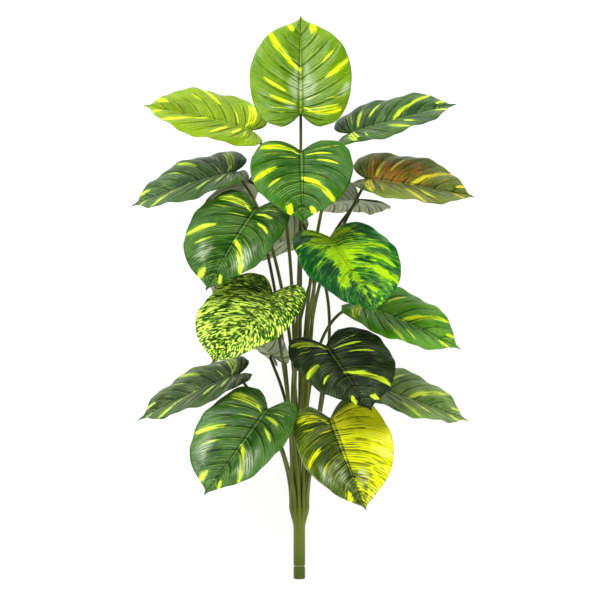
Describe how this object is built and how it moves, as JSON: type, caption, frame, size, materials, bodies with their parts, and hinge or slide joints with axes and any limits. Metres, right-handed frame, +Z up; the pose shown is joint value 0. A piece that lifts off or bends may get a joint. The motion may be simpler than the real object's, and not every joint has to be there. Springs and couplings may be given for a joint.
{
  "type": "artificial pothos spray",
  "caption": "Artificial pothos spray: heart-shaped variegated leaves on petioles that rise from one moulded stub, laid on its back.",
  "frame": {"origin": "centre of the bounding box in X and Y, on the surface that the spray lies on", "axes": "+Y from the cut end of the stub towards the top leaf, +Z up out of the front of the spray, +X to the right of the front"},
  "size_m": [0.493, 0.7944, 0.3151],
  "materials": {
    "leaf_print": "satin",
    "petiole_plastic": "satin",
    "stub_plastic": "satin"
  },
  "bodies": {
    "root": {"stem_stub": "stub_plastic", "petiole_01": "petiole_plastic", "leaf_01": "leaf_print", "petiole_02": "petiole_plastic", "leaf_02": "leaf_print", "petiole_03": "petiole_plastic", "leaf_03": "leaf_print", "petiole_04": "petiole_plastic", "leaf_04": "leaf_print", "petiole_05": "petiole_plastic", "leaf_05": "leaf_print", "petiole_06": "petiole_plastic", "leaf_06": "leaf_print", "petiole_07": "petiole_plastic", "leaf_07": "leaf_print", "petiole_08": "petiole_plastic", "leaf_08": "leaf_print", "petiole_09": "petiole_plastic", "leaf_09": "leaf_print", "petiole_10": "petiole_plastic", "leaf_10": "leaf_print", "petiole_11": "petiole_plastic", "leaf_11": "leaf_print", "petiole_12": "petiole_plastic", "leaf_12": "leaf_print", "petiole_13": "petiole_plastic", "leaf_13": "leaf_print", "petiole_14": "petiole_plastic", "leaf_14": "leaf_print", "petiole_15": "petiole_plastic", "leaf_15": "leaf_print", "petiole_16": "petiole_plastic", "leaf_16": "leaf_print", "petiole_17": "petiole_plastic", "leaf_17": "leaf_print", "petiole_18": "petiole_plastic", "leaf_18": "leaf_print", "petiole_19": "petiole_plastic", "leaf_19": "leaf_print"}
  },
  "joints": []
}
